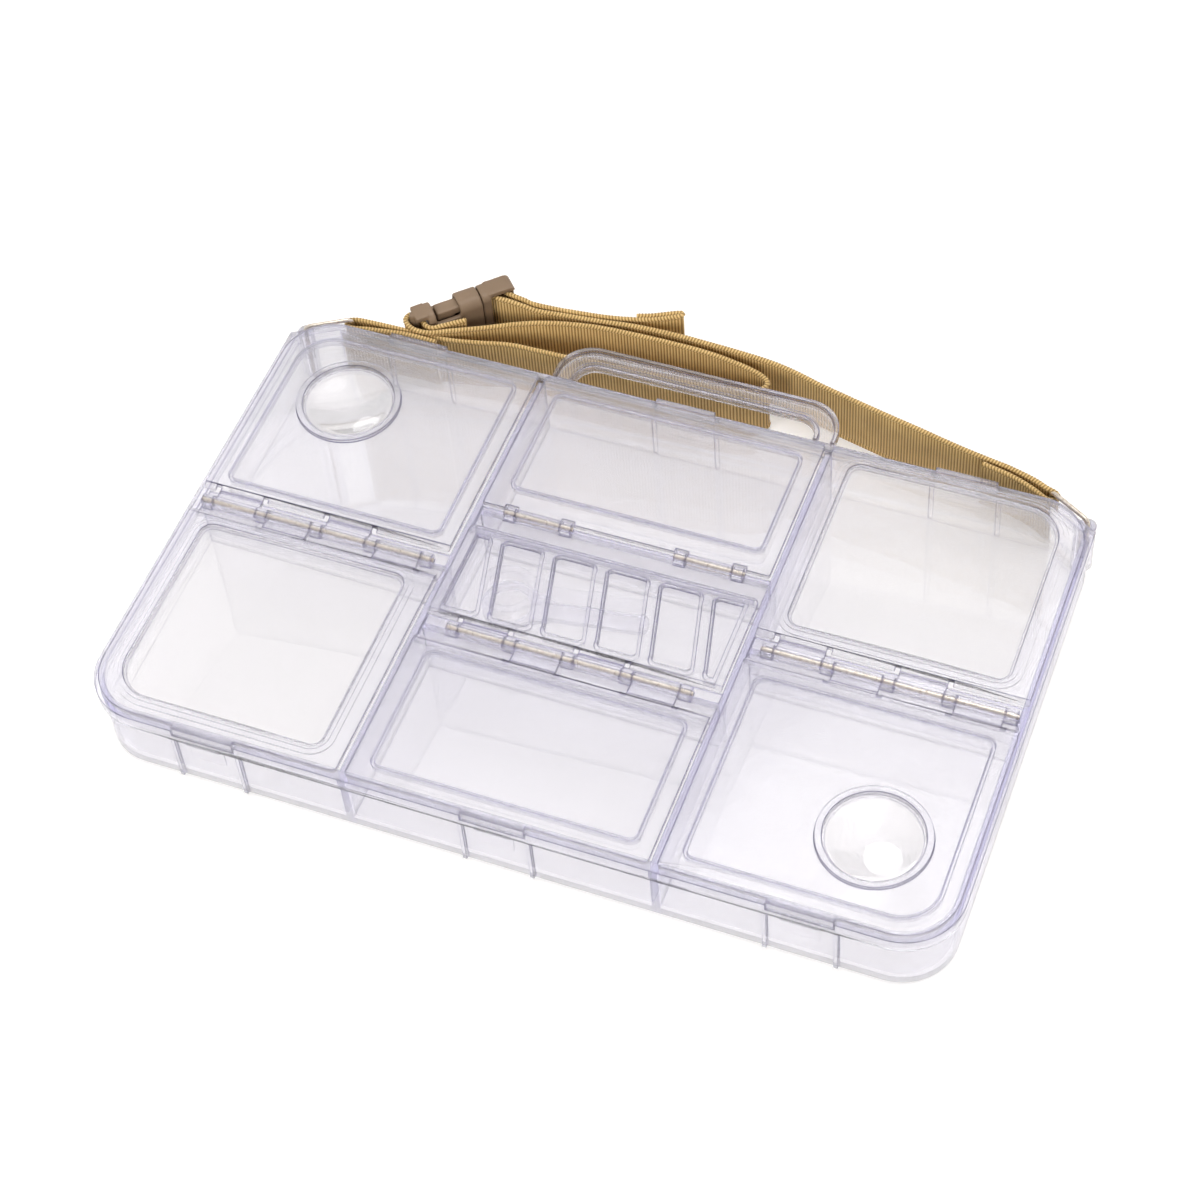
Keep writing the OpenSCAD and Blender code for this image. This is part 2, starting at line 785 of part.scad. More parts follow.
module well_outline(x, grow) {
    y0 = well_near - grow;
    y1 = centre_far - well_far + grow;
    lean = well_lean / (centre_far - well_far - well_near);
    tilt = atan(lean);
    r = well_r + grow;
    half = well_w / 2 + grow;
    middle = x + well_w / 2 + well_lean / 2;
    centre_y = (y0 + y1) / 2;
    // Middle line of the well at a height
    low_x = middle - lean * (y0 + r - centre_y);
    high_x = middle - lean * (y1 - r - centre_y);
    reach = half - r;
    polygon(concat(
        corner_arc([low_x + reach, y0 + r], r, -90, -tilt, 5),
        corner_arc([high_x + reach, y1 - r], r, -tilt, 90, 5),
        corner_arc([high_x - reach, y1 - r], r, 90, 180 - tilt, 5),
        corner_arc([low_x - reach, y0 + r], r, 180 - tilt, 270, 5)));
}

module wells(grow) {
    side = middle_half - well_side + grow;
    intersection() {
        for (i = [-3:2])
            well_outline(well_x + i * well_pitch, grow);
        translate([-side, 0])
            square([2 * side, tray_d]);
    }
}

module lid_centre() color(clear_colour) at_hinge(front_hinge_y, 1) difference() {
    union() {
        difference() {
            translate([0, 0, lid_z])
                linear_extrude(lid_t)
                    rounded_rect(-middle_half, middle_half, centre_setback, centre_far,
                        [near_r, near_r, lid_r, lid_r]);
            near_bevel(-middle_half, middle_half, centre_setback);
            reliefs(0, centre_setback, back_lid_knuckles);
        }
        knuckles(0, centre_setback, back_lid_knuckles);
        translate([0, 0, lid_top - well_depth - well_t])
            linear_extrude(well_depth + well_t - sink)
                wells(well_t);
        translate([-middle_half + lid_r, centre_far - seal_t, rail_top + lid_gap])
            cube([2 * (middle_half - lid_r), seal_t, lid_z - rail_top]);
    }
    translate([0, 0, lid_top - well_depth])
        linear_extrude(well_depth + 1)
            wells(0);
    pin_bore(0, back_lid_knuckles);
}

// Round cap of a sphere, standing on z = 0
module cap(radius, height) {
    ball = (radius * radius + height * height) / (2 * height);
    intersection() {
        translate([0, 0, height - ball])
            sphere(r = ball, $fn = fine);
        cylinder(r = radius, h = height + 1);
    }
}

module round_lens() {
    inner_r = lens_d / 2 - lens_ledge - lens_fit;
    translate([0, 0, lens_seat_z])
        cylinder(d = lens_d, h = lens_flange);
    translate([0, 0, lens_seat_z + lens_flange - eps])
        cap(inner_r, lens_top);
    translate([0, 0, lens_seat_z + eps])
        mirror([0, 0, 1])
            cap(inner_r, lens_under);
}

module round_lens_left() color(lens_colour) at_hinge(side_hinge_y, 1)
    translate([-lid_out + left_lens_x, left_lens_y, 0])
        round_lens();

module round_lens_right() color(lens_colour) at_hinge(side_hinge_y, -1)
    translate([lid_out - right_lens_x, right_lens_y, 0])
        round_lens();

// Shallow dome over a window, cut to the window's outline
module window_lens(side, facing) {
    far = lid_far - facing * side_hinge_y - window_end;
    window_l = far - window_near;
    reach = norm([window_w, window_l]) / 2;
    ball = (reach * reach + window_dome * window_dome) / (2 * window_dome);
    steps = 12;
    arc = [for (i = [0:steps]) [reach * i / steps,
        sqrt(ball * ball - pow(reach * i / steps, 2)) - ball + window_dome]];
    x0 = side > 0 ? lid_in + window_inner : -lid_out + window_side;
    translate([0, 0, window_seat_z])
        linear_extrude(window_flange)
            window_outline(side, facing, -lens_fit);
    intersection() {
        translate([x0 + window_w / 2, window_near + window_l / 2, window_seat_z + window_flange])
            rotate_extrude($fn = fine)
                polygon(concat([[0, -sink], [0, window_dome]], [for (i = [1:steps]) arc[i]],
                    [[reach, -sink]]));
        translate([0, 0, window_seat_z])
            linear_extrude(tray_h)
                window_outline(side, facing, -lens_fit);
    }
}

module window_lens_left() color(lens_colour) at_hinge(side_hinge_y, -1)
    window_lens(-1, -1);

module window_lens_right() color(lens_colour) at_hinge(side_hinge_y, 1)
    window_lens(1, 1);

module long_pin(x, hinge_y) color(steel_colour)
    rod(x, hinge_y, pin_z, pin_d / 2, 2 * pin_half);

module hinge_pin_left() long_pin(-hinge_x, side_hinge_y);

module hinge_pin_right() long_pin(hinge_x, side_hinge_y);

module hinge_pin_front() long_pin(0, front_hinge_y);

module hinge_pins_back() color(steel_colour)
    for (side = [-1, 1])
        rod(side * (short_pin_start + pin_half) / 2, back_hinge_y, pin_z, pin_d / 2,
            pin_half - short_pin_start);

// Quarter turn of wire at a corner of the ring
module wire_bend(r) {
    rotate_extrude(angle = 90)
        translate([r, 0])
            circle(d = wire_d, $fn = 24);
}

// Closed rectangular ring of wire, its first leg at the origin
module wire_ring() {
    r = 2.5;
    for (x = [0, loop_w])
        translate([x, 0, loop_low + r])
            cylinder(d = wire_d, h = loop_high - loop_low - 2 * r);
    for (z = [loop_low, loop_high])
        translate([r, 0, z])
            rotate([0, 90, 0])
                cylinder(d = wire_d, h = loop_w - 2 * r);
    for (place = [[loop_w - r, loop_high - r, 0], [r, loop_high - r, 90], [r, loop_low + r, 180],
        [loop_w - r, loop_low + r, 270]])
        translate([place[0], 0, place[1]])
            rotate([90, 0, 0])
                rotate([0, 0, place[2]])
                    wire_bend(r);
}

module strap_ring_left() color(steel_colour)
    translate([-boss_pos[0], boss_pos[1], 0])
        rotate([0, 0, cut_angle])
            wire_ring();

module strap_ring_right() color(steel_colour)
    translate([boss_pos[0], boss_pos[1], 0])
        rotate([0, 0, 180 - cut_angle])
            wire_ring();

// Smooth curve through points: steps points for each stretch between two of them
function blend4(a, b, c, d, t) = 0.5 * (2 * b + (c - a) * t + (2 * a - 5 * b + 4 * c - d) * t * t
    + (3 * b - a - 3 * c + d) * t * t * t);
function through(p, steps) = let (last = len(p) - 1) concat(
    [for (i = [0:last - 1]) for (j = [0:steps - 1])
        blend4(p[max(i - 1, 0)], p[i], p[i + 1], p[min(i + 2, last)], j / steps)], [p[last]]);
function flat_unit(v) = [v[0], v[1]] / norm([v[0], v[1]]);
function side_of(c, i) = let (d = flat_unit(c[min(i + 1, len(c) - 1)] - c[max(i - 1, 0)])) [-d[1], d[0]];

// Webbing on its edge along points of X, Y and the height of its lower edge
module webbing(route, steps) {
    line = through(route, steps);
    count = len(line);
    corners = [for (i = [0:count - 1]) let (n = side_of(line, i) * web_t / 2, c = line[i])
        each [[c[0] - n[0], c[1] - n[1], c[2]], [c[0] + n[0], c[1] + n[1], c[2]],
            [c[0] + n[0], c[1] + n[1], c[2] + web_w], [c[0] - n[0], c[1] - n[1], c[2] + web_w]]];
    last = 4 * (count - 1);
    faces = concat([[0, 1, 2], [0, 2, 3], [last + 2, last + 1, last], [last + 3, last + 2, last]],
        [for (i = [0:count - 2]) for (k = [0:3]) let (a = 4 * i + k, b = 4 * i + (k + 1) % 4)
            each [[a, a + 4, b + 4], [a, b + 4, b]]]);
    polyhedron(points = corners, faces = faces);
}

// Routes of the webbing. Points at a ring are measured from its far leg, points in the buckle along
// and across the buckle, and the rest from the middle of the rim's back face.
function at_leg(side, points) = [for (p = points) [side * (leg_pos[0] + p[0]), leg_pos[1] + p[1], p[2]]];
function in_buckle(points) = [for (p = points)
    [buckle_pos[0] + p[0] * cos(buckle_angle) - p[1] * sin(buckle_angle),
        buckle_pos[1] + p[0] * sin(buckle_angle) + p[1] * cos(buckle_angle), p[2]]];
function behind(points) = [for (p = points) [p[0], half_d + p[1], p[2]]];

left_route = concat(
    at_leg(-1, [[-34.6, 1.8, 1], [-26, 1.6, 1.6], [-18.6, 1, 1.8], [-6.6, -1.1, ring_edge],
        [-2, -2.1, ring_edge], [0.6, -2, ring_edge], [2.1, -0.6, ring_edge], [1.8, 1.1, ring_edge],
        [0, 1.9, ring_edge], [-3.6, 2.5, ring_edge], [-18.6, 3.6, 1.2], [-36, 4.6, low_edge]]),
    behind([[-90, 10.7, low_edge], [-78, 13.4, low_edge], [-66, 14, low_edge],
        [-53.6, 14.2, low_edge], [-20, 15, low_edge], [6, 16.4, low_edge], [17, 18.6, low_edge],
        [23, 22.6, low_edge], [22, 27, low_edge], [12, 30.6, low_edge], [-8, 33.2, low_edge],
        [-41, 33, low_edge], [-57, 31.2, low_edge], [-70.6, 27.8, low_edge], [-80, 24, low_edge],
        [-90, 19, low_edge]]),
    in_buckle([[17.4, -12.1, 1], [11, -10.9, 2], [5, -9.4, buckle_edge], [0.8, -6.2, buckle_edge],
        [-1.2, -2.6, buckle_edge], [-1.4, 0.8, buckle_edge], [0.3, 2.8, buckle_edge],
        [2.9, 2.8, buckle_edge], [4.5, 0.8, buckle_edge], [4.6, -2.5, buckle_edge],
        [4.8, -5.2, buckle_edge], [6.4, -7.3, buckle_edge], [10, -8, buckle_edge],
        [15, -8.6, buckle_edge], [20, -9.3, buckle_edge]]));

right_end_route = at_leg(1, [[-28, 7.6, 1.2], [-15.6, 4.4, 1.8], [-6.6, 0.6, ring_edge],
    [-2.2, -1.8, ring_edge], [0.4, -2.2, ring_edge], [2.1, -0.8, ring_edge], [1.9, 1, ring_edge],
    [0.2, 2, ring_edge], [-2.6, 2.9, ring_edge], [-8, 5.4, 1.8], [-18, 8.6, 1.2], [-25, 10.3, 0.6]]);

right_route = concat(
    behind([[111, 14.7, low_edge], [100.4, 17, low_edge], [84.4, 20.7, low_edge],
        [68.5, 24.2, low_edge], [45.7, 29.6, low_edge], [22.6, 35.4, low_edge],
        [-8.8, 37.6, low_edge], [-25, 37.8, low_edge], [-37, 37.2, low_edge],
        [-48.6, 35.8, low_edge], [-61.5, 34.6, low_edge], [-73.8, 33.5, low_edge]]),
    in_buckle([[43, -10.8, 1.4], [38.6, -7, buckle_edge], [35.4, -3.8, buckle_edge],
        [33.9, -0.6, buckle_edge], [34.7, 2.1, buckle_edge], [36.9, 2.8, buckle_edge],
        [38.9, 1.2, buckle_edge], [39.4, -1.8, buckle_edge], [41, -4.8, buckle_edge],
        [44.5, -8.6, 1.8]]),
    behind([[-76, 35.8, 0.8], [-66, 36.6, low_edge], [-61, 37, low_edge], [-49, 38.2, low_edge],
        [-39, 40, low_edge], [-29, 43, low_edge], [-20, 47.7, low_edge]]));

module strap_left() color(webbing_colour)
    webbing(left_route, 2);

module webbing_end_right() color(webbing_colour)
    webbing(right_end_route, 2);

module strap_right() color(webbing_colour)
    webbing(right_route, 2);

// The buckle is drawn along X, its width upright, with the socket's back end at the origin
module at_buckle() {
    translate([buckle_pos[0], buckle_pos[1], 0])
        rotate([0, 0, buckle_angle])
            children();
}

// Bar of rounded section across the buckle
module buckle_block(s0, s1, thickness, z0, z1, r) {
    translate([s0, 0, 0])
        rotate([90, 0, 90])
            linear_extrude(s1 - s0)
                rounded_rect(-thickness / 2, thickness / 2, z0, z1, [r, r, r, r]);
}

// Upper and lower side rails of a buckle half's webbing frame
module buckle_rails(s0, s1) {
    for (z = [0, buckle_w - buckle_rail])
        translate([s0, -frame_t / 2, z])
            cube([s1 - s0, frame_t, buckle_rail]);
}

module buckle_female() color(buckle_colour) at_buckle() {
    slot_end = bar_l + slot_l;
    cavity = slot_end + socket_back;
    difference() {
        buckle_block(slot_end, socket_l, buckle_t, 0, buckle_w, buckle_r);
        buckle_block(cavity, socket_l + 1, cavity_t, shell_t, buckle_w - shell_t, 1);
        for (z = [-1, buckle_w - waist])
            translate([cavity + 0.5, -buckle_t, z])
                cube([window_l, 2 * buckle_t, waist + 1]);
    }
    buckle_rails(bar_r, slot_end + sink);
    translate([bar_r, 0, sink]) {
        cylinder(r = bar_r, h = buckle_w - 2 * sink);
        translate([0, -bar_r, 0])
            cube([bar_l - bar_r, 2 * bar_r, buckle_w - 2 * sink]);
    }
}

module buckle_male() color(buckle_colour) at_buckle() {
    start = socket_l + plug_gap;
    end = start + plug_l;
    arm_start = start - arm_l;
    arm_low = shell_t + arm_fit;
    arm_w = cavity_t - 1;
    buckle_block(start, start + plug_block, buckle_t - 1.4, 0, buckle_w, 3);
    buckle_rails(start + plug_block - sink, end);
    translate([start + plug_bar_s, 0, sink])
        cylinder(d = plug_bar_d, h = buckle_w - 2 * sink);
    translate([end - plug_end_l, -bar_r, sink])
        cube([plug_end_l, 2 * bar_r, buckle_w - 2 * sink]);
    for (z = [arm_low, buckle_w - arm_low - arm_t])
        translate([arm_start, -arm_w / 2, z])
            cube([arm_l + sink, arm_w, arm_t]);
    for (z = [arm_low + arm_t - sink, buckle_w - arm_low - arm_t - 1.6 + sink])
        translate([arm_start, -arm_w / 2, z])
            cube([7, arm_w, 1.6]);
    translate([arm_start + 5, -arm_w / 2, (buckle_w - tongue_t) / 2])
        cube([arm_l - 5 + sink, arm_w, tongue_t]);
}

// The hand lens lies loose on the centre compartment's floor
module at_loupe() {
    translate([loupe_pos[0], loupe_pos[1], floor_t])
        rotate([0, 0, loupe_angle])
            children();
}

module hand_lens_frame() color(clear_colour) at_loupe() difference() {
    union() {
        cylinder(d = loupe_d, h = loupe_t);
        linear_extrude(loupe_t)
            polygon([[6, -8], [loupe_neck, -loupe_handle_w / 2], [loupe_neck, loupe_handle_w / 2],
                [6, 8]]);
        linear_extrude(loupe_t - 0.6)
            rounded_rect(loupe_neck - 1, loupe_l, -loupe_handle_w / 2, loupe_handle_w / 2,
                [0.5, 2.5, 2.5, 0.5]);
    }
    translate([0, 0, 0.6])
        cylinder(d = loupe_lens_d + 2 * lens_fit, h = loupe_t);
    translate([0, 0, -1])
        cylinder(d = loupe_lens_d - 1.4, h = loupe_t + 2);
}

module hand_lens_glass() color(lens_colour) at_loupe() translate([0, 0, 0.6]) {
    cylinder(d = loupe_lens_d, h = 1.2);
    translate([0, 0, 1.2 - eps])
        cap(loupe_lens_d / 2 - 0.4, 1.4);
}

tray();
carry_handle();
lid_back_left();
lid_front_left();
lid_back_middle();
lid_centre();
lid_front_middle();
lid_back_right();
lid_front_right();
round_lens_left();
round_lens_right();
window_lens_left();
window_lens_right();
hinge_pin_left();
hinge_pin_right();
hinge_pin_front();
hinge_pins_back();
strap_ring_left();
strap_ring_right();
strap_left();
strap_right();
webbing_end_right();
buckle_female();
buckle_male();
hand_lens_frame();
hand_lens_glass();
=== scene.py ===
"""Clear mineral specimen box with hinged lids, magnifiers, a carry handle and a webbing strap."""
import json
import math

import bmesh
import bpy
from mathutils import Matrix, Vector


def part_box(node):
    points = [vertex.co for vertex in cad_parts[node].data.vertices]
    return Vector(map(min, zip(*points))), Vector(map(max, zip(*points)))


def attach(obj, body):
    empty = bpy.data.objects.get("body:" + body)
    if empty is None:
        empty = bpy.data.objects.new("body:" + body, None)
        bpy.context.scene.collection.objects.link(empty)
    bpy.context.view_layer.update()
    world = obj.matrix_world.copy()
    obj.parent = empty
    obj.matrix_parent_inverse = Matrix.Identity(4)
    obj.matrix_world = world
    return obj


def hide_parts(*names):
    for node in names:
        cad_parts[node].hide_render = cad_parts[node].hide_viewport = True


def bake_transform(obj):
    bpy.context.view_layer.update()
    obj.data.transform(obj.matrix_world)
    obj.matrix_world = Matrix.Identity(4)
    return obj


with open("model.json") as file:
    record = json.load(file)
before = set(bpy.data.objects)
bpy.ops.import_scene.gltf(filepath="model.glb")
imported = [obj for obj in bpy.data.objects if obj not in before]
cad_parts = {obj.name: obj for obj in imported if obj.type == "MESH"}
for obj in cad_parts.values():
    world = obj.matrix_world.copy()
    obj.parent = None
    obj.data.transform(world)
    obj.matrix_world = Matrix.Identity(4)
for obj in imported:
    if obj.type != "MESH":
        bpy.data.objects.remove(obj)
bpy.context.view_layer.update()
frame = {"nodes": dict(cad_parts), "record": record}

MM = 0.001
BODIES = frame["record"]["behaviour"]["bodies"]
BODY_OF = {node: body for body, nodes in BODIES.items() for node in nodes}

# Camera, worked out from the photograph: degrees and metres, sensor and lens in millimetres
VIEW_AZIMUTH = 25.137
VIEW_ELEVATION = 52.631
VIEW_ROLL = -5.469
VIEW_DISTANCE = 1.02934
VIEW_TARGET = (-0.008287, 0.023048, 0.0)
SENSOR = 36.0
LENS = 83.586

# Lamps, in metres and watts
OVERHEAD_LAMP = ((0.3, 0.7, 3.2), 1.6, 38)
SIDE_LAMP_SIZE = 1.4
SIDE_LAMPS = (((-1.6, -2.6, 1.6), 50), ((1.6, -2.6, 1.6), 46),
              ((-1.9, 1.9, 2.6), 30), ((1.9, 1.9, 2.6), 36))

# Sizes shared with the construction, in millimetres
HALF_DEPTH = 97.5
WEB_WIDTH = 25.0
LEG_PLACE = (139.565, 101.2)
BUCKLE_PLACE = (-118.5, 109.0)
BUCKLE_ANGLE = 43.5
LENS_SEAT = 30.2
FLANGE_WIDTH = 1.1
FLANGE_THICKNESS = 1.2

# Roundings, in millimetres
MERGE = 0.001
CLEAR_ROUNDING = 0.22
FLANGE_ROUNDING = 0.2
PLUG_CORNER = 3.2
BUCKLE_GRAIN = 0.3
BUCKLE_WEAR = 22
# An edge is rounded where both of its faces are this many roundings deep
ROOM = 3.2

# Webbing, in millimetres: ribs, the cords along its edges, and half of its thickness over its height
RIB_PITCH = 1.25
RIB_STEPS = 4
RIB_SWELL = 0.22
CORD_WIDTH = 2.1
CORD_SWELL = 0.14
CORD_SLANT = 2.2
WEB_PROFILE = [(0.0, 0.0), (0.12, 0.45), (0.4, 0.78), (0.95, 1.05), (1.5, 0.8), (1.85, 0.5),
               (CORD_WIDTH, 0.38), (2.35, 0.5), (2.7, 0.62), (8.0, 0.62), (12.5, 0.62)]

# Clear plastic: rays of sight that have crossed it more than CAUGHT_AFTER times end on a painted violet
# glow, in place of the light that real plastic carries along to its edges
CLEAR_TONE = (0.997, 0.994, 0.992, 1.0)
# Painted violet tint for the roundings of the clear mouldings, standing in for the dark surroundings
# that real clear edges reflect and refract
PAINTED_EDGE_TINT = (0.78, 0.75, 0.88, 1.0)
LENS_TONE = (0.98, 0.974, 0.97, 1.0)
LAMP_TONE = (0.992, 0.99, 0.988, 1.0)
LENS_LAMP_TONE = (0.993, 0.993, 0.993, 1.0)
VIOLET_DEPTH = (0.28, 0.25, 0.72, 1.0)
PALE_DEPTH = (0.7, 0.7, 0.85, 1.0)
CAUGHT_AFTER = 8.5
PAINTED_EDGE_GLOW = (0.56, 0.54, 0.74, 1.0)
LIGHT_BOUNCES = 24

CLEAR_MOULDINGS = ("tray", "carry_handle", "lid_back_left", "lid_front_left", "lid_back_middle",
                   "lid_centre", "lid_front_middle", "lid_back_right", "lid_front_right")
STEEL_PIECES = ("hinge_pin_left", "hinge_pin_right", "hinge_pin_front", "hinge_pins_back",
                "strap_ring_left", "strap_ring_right")


# Shader maths


class Value:
    """A socket that ordinary operators join to numbers and other sockets with Math nodes."""

    def __init__(self, tree, socket):
        self.tree = tree
        self.socket = socket

    def math(self, operation, other=None, swapped=False):
        node = self.tree.nodes.new("ShaderNodeMath")
        node.operation = operation
        ends = [other, self] if swapped else [self, other]
        for slot, end in zip(node.inputs, ends):
            if isinstance(end, Value):
                self.tree.links.new(end.socket, slot)
            elif end is not None:
                slot.default_value = end
        return Value(self.tree, node.outputs[0])

    def __add__(self, other):
        return self.math("ADD", other)

    __radd__ = __add__

    def __sub__(self, other):
        return self.math("SUBTRACT", other)

    def __rsub__(self, other):
        return self.math("SUBTRACT", other, swapped=True)

    def __mul__(self, other):
        return self.math("MULTIPLY", other)

    __rmul__ = __mul__

    def clamped(self):
        return self.math("MAXIMUM", 0.0).math("MINIMUM", 1.0)


class Nodes:
    """A node tree that is being filled."""

    def __init__(self, tree):
        self.tree = tree

    def feed(self, slot, value):
        if isinstance(value, Value):
            self.tree.links.new(value.socket, slot)
        else:
            slot.default_value = value

    def add(self, kind, settings=None, inputs=None, output=0, stops=None):
        """Add a node of a type with its settings, then its values or links; give one output."""
        made = self.tree.nodes.new(kind)
        for key, setting in (settings or {}).items():
            setattr(made, key, setting)
        if stops:
            while len(made.color_ramp.elements) < len(stops):
                made.color_ramp.elements.new(0.5)
            for element, (place, colour) in zip(made.color_ramp.elements, stops):
                element.position = place
                element.color = (*colour, 1.0)
        for key, value in (inputs or {}).items():
            self.feed(made.inputs[key], value)
        return Value(self.tree, made.outputs[output])

    def ramp(self, factor, stops):
        return self.add("ShaderNodeValToRGB", inputs={"Fac": factor}, stops=stops, output="Color")

    def bump(self, height, strength, distance):
        return self.add("ShaderNodeBump", inputs={
            "Height": height, "Strength": strength, "Distance": distance})

    def noise(self, scale, detail=2.0, roughness=0.5):
        """Noise on the piece's own place, with its scale per metre."""
        place = self.add("ShaderNodeTexCoord", output="Object")
        return self.add("ShaderNodeTexNoise", output=0, inputs={
            "Vector": place, "Scale": scale, "Detail": detail, "Roughness": roughness})

    def sight_rays(self):
        """1 for rays from the eye, mirrored or sent through, and 0 for rays that carry light."""
        path = self.tree.nodes.new("ShaderNodeLightPath")
        kinds = [Value(self.tree, path.outputs[kind])
                 for kind in ("Is Camera Ray", "Is Glossy Ray", "Is Transmission Ray")]
        return (kinds[0] + kinds[1] + kinds[2]).clamped()


class Finish(Nodes):
    """A material built round one Principled shader."""

    def __init__(self, name):
        self.material = bpy.data.materials.new(name)
        self.material.use_nodes = True
        super().__init__(self.material.node_tree)
        self.shader = self.tree.nodes["Principled BSDF"]
        self.output = self.tree.nodes["Material Output"]

    def set(self, sockets):
        for key, value in sockets.items():
            self.feed(self.shader.inputs[key], value)

    def surface(self, value):
        self.tree.links.new(value.socket, self.output.inputs["Surface"])


def clear_moulding(name, tone, lamp_tone, haze=0.06, straight=0.3, roughness=0.03,
                   depth_tone=VIOLET_DEPTH, density=22.0):
    """Clear plastic: slightly milky, unevenly polished, tinted along its depth; lamps shine through.

    A share of the rays of sight goes straight on, so that what lies behind several walls stays clear.
    """
    finish = Finish(name)
    polish = finish.noise(40.0, detail=3.0)
    finish.set({"Base Color": tone, "Roughness": polish * roughness, "IOR": 1.49,
                "Transmission Weight": 1.0 - haze})
    lamp_ray = finish.add("ShaderNodeLightPath", output="Is Shadow Ray")
    open_way = finish.add("ShaderNodeBsdfTransparent", inputs={"Color": lamp_tone})
    moulded = Value(finish.tree, finish.shader.outputs[0])
    thin = finish.add("ShaderNodeBsdfTransparent", inputs={"Color": tone})
    passed = finish.add("ShaderNodeMixShader", inputs={0: straight, 1: moulded, 2: thin})
    # Painted glow: rays that have crossed the plastic more than CAUGHT_AFTER times end on an emission
    # instead of going dark
    depth = finish.add("ShaderNodeLightPath", output="Ray Depth")
    caught = depth.math("GREATER_THAN", CAUGHT_AFTER)
    glow = finish.add("ShaderNodeEmission", inputs={"Color": PAINTED_EDGE_GLOW, "Strength": 1.0})
    plastic = finish.add("ShaderNodeMixShader", inputs={0: caught, 1: passed, 2: glow})
    finish.surface(finish.add("ShaderNodeMixShader", inputs={0: lamp_ray, 1: plastic, 2: open_way}))
    body = finish.add("ShaderNodeVolumeAbsorption", inputs={"Color": depth_tone, "Density": density})
    finish.tree.links.new(body.socket, finish.output.inputs["Volume"])
    return finish.material


def drawn_steel():
    """Warm bright wire with fine streaks."""
    finish = Finish("steel_wire")
    streaks = finish.noise(900.0, detail=3.0)
    tone = finish.ramp(streaks, [(0.3, (0.55, 0.47, 0.38)), (0.7, (0.8, 0.73, 0.64))])
    finish.set({"Base Color": tone, "Metallic": 1.0, "Roughness": 0.22 + streaks * 0.14})
    return finish.material


def matte_buckle():
    """Brown moulded plastic with a fine grain."""
    finish = Finish("buckle_plastic")
    grain = finish.noise(2600.0)
    cloud = finish.noise(60.0, detail=3.0)
    tone = finish.ramp(cloud, [(0.3, (0.2, 0.135, 0.085)), (0.7, (0.25, 0.17, 0.108))])
    finish.set({"Base Color": tone, "Roughness": 0.42 + grain * 0.16, "Specular IOR Level": 0.45,
                "Normal": finish.bump(grain, 0.25, 0.0002)})
    return finish.material


def webbing_weave():
    """Tan webbing of random fibre and cloud tone, with painted shade on its ribs: tops painted pale and
    grooves painted dark, slanting in the cords along its edges.
    """
    finish = Finish("webbing")
    fibre = finish.noise(3200.0, detail=3.0)
    cloud = finish.noise(140.0)
    strip = finish.tree.nodes.new("ShaderNodeSeparateXYZ")
    finish.feed(strip.inputs[0], finish.add("ShaderNodeUVMap", {"uv_map": "along"}))
    along, up = (Value(finish.tree, strip.outputs[axis]) for axis in ("X", "Y"))
    from_middle = (up - WEB_WIDTH / 2).math("ABSOLUTE")
    corded = from_middle.math("GREATER_THAN", WEB_WIDTH / 2 - CORD_WIDTH)
    slanted = along + corded * from_middle * 0.35
    # Painted shade: the colour is darker in the grooves between ribs and cords and lighter on their
    # tops
    painted_rib_shade = (slanted * (2 * math.pi)).math("COSINE") * 0.5 + 0.5
    tone = finish.ramp(fibre * 0.3 + cloud * 0.15 + painted_rib_shade * 0.55, [
        (0.15, (0.19, 0.105, 0.032)), (0.5, (0.54, 0.35, 0.13)), (0.85, (0.82, 0.6, 0.29))])
    finish.set({"Base Color": tone, "Roughness": 0.75, "Specular IOR Level": 0.3,
                "Sheen Weight": 0.2, "Sheen Roughness": 0.4,
                "Normal": finish.bump(fibre, 0.5, 0.0003)})
    return finish.material


# Stage


def add_camera():
    azimuth, elevation, roll = (math.radians(v) for v in (VIEW_AZIMUTH, VIEW_ELEVATION, VIEW_ROLL))
    back = Vector((math.sin(azimuth) * math.cos(elevation),
                   -math.cos(azimuth) * math.cos(elevation), math.sin(elevation)))
    level = Vector((0, 0, 1)).cross(back).normalized()
    upright = back.cross(level)
    right = level * math.cos(roll) + upright * math.sin(roll)
    up = upright * math.cos(roll) - level * math.sin(roll)
    data = bpy.data.cameras.new("camera")
    data.sensor_fit = "HORIZONTAL"
    data.sensor_width = SENSOR
    data.lens = LENS
    data.clip_end = 20.0
    camera = bpy.data.objects.new("camera", data)
    place = Vector(VIEW_TARGET) + back * VIEW_DISTANCE
    camera.matrix_world = Matrix.Translation(place) @ Matrix((right, up, back)).transposed().to_4x4()
    bpy.context.scene.collection.objects.link(camera)
    bpy.context.scene.camera = camera


def add_lamp(name, place, size, power, mirrored=False):
    data = bpy.data.lights.new(name, "AREA")
    data.shape = "DISK"
    data.size = size
    data.energy = power
    lamp = bpy.data.objects.new(name, data)
    lamp.visible_glossy = mirrored
    lamp.visible_transmission = mirrored
    turn = (-Vector(place)).to_track_quat("-Z", "Y").to_matrix().to_4x4()
    lamp.matrix_world = Matrix.Translation(place) @ turn
    bpy.context.scene.collection.objects.link(lamp)


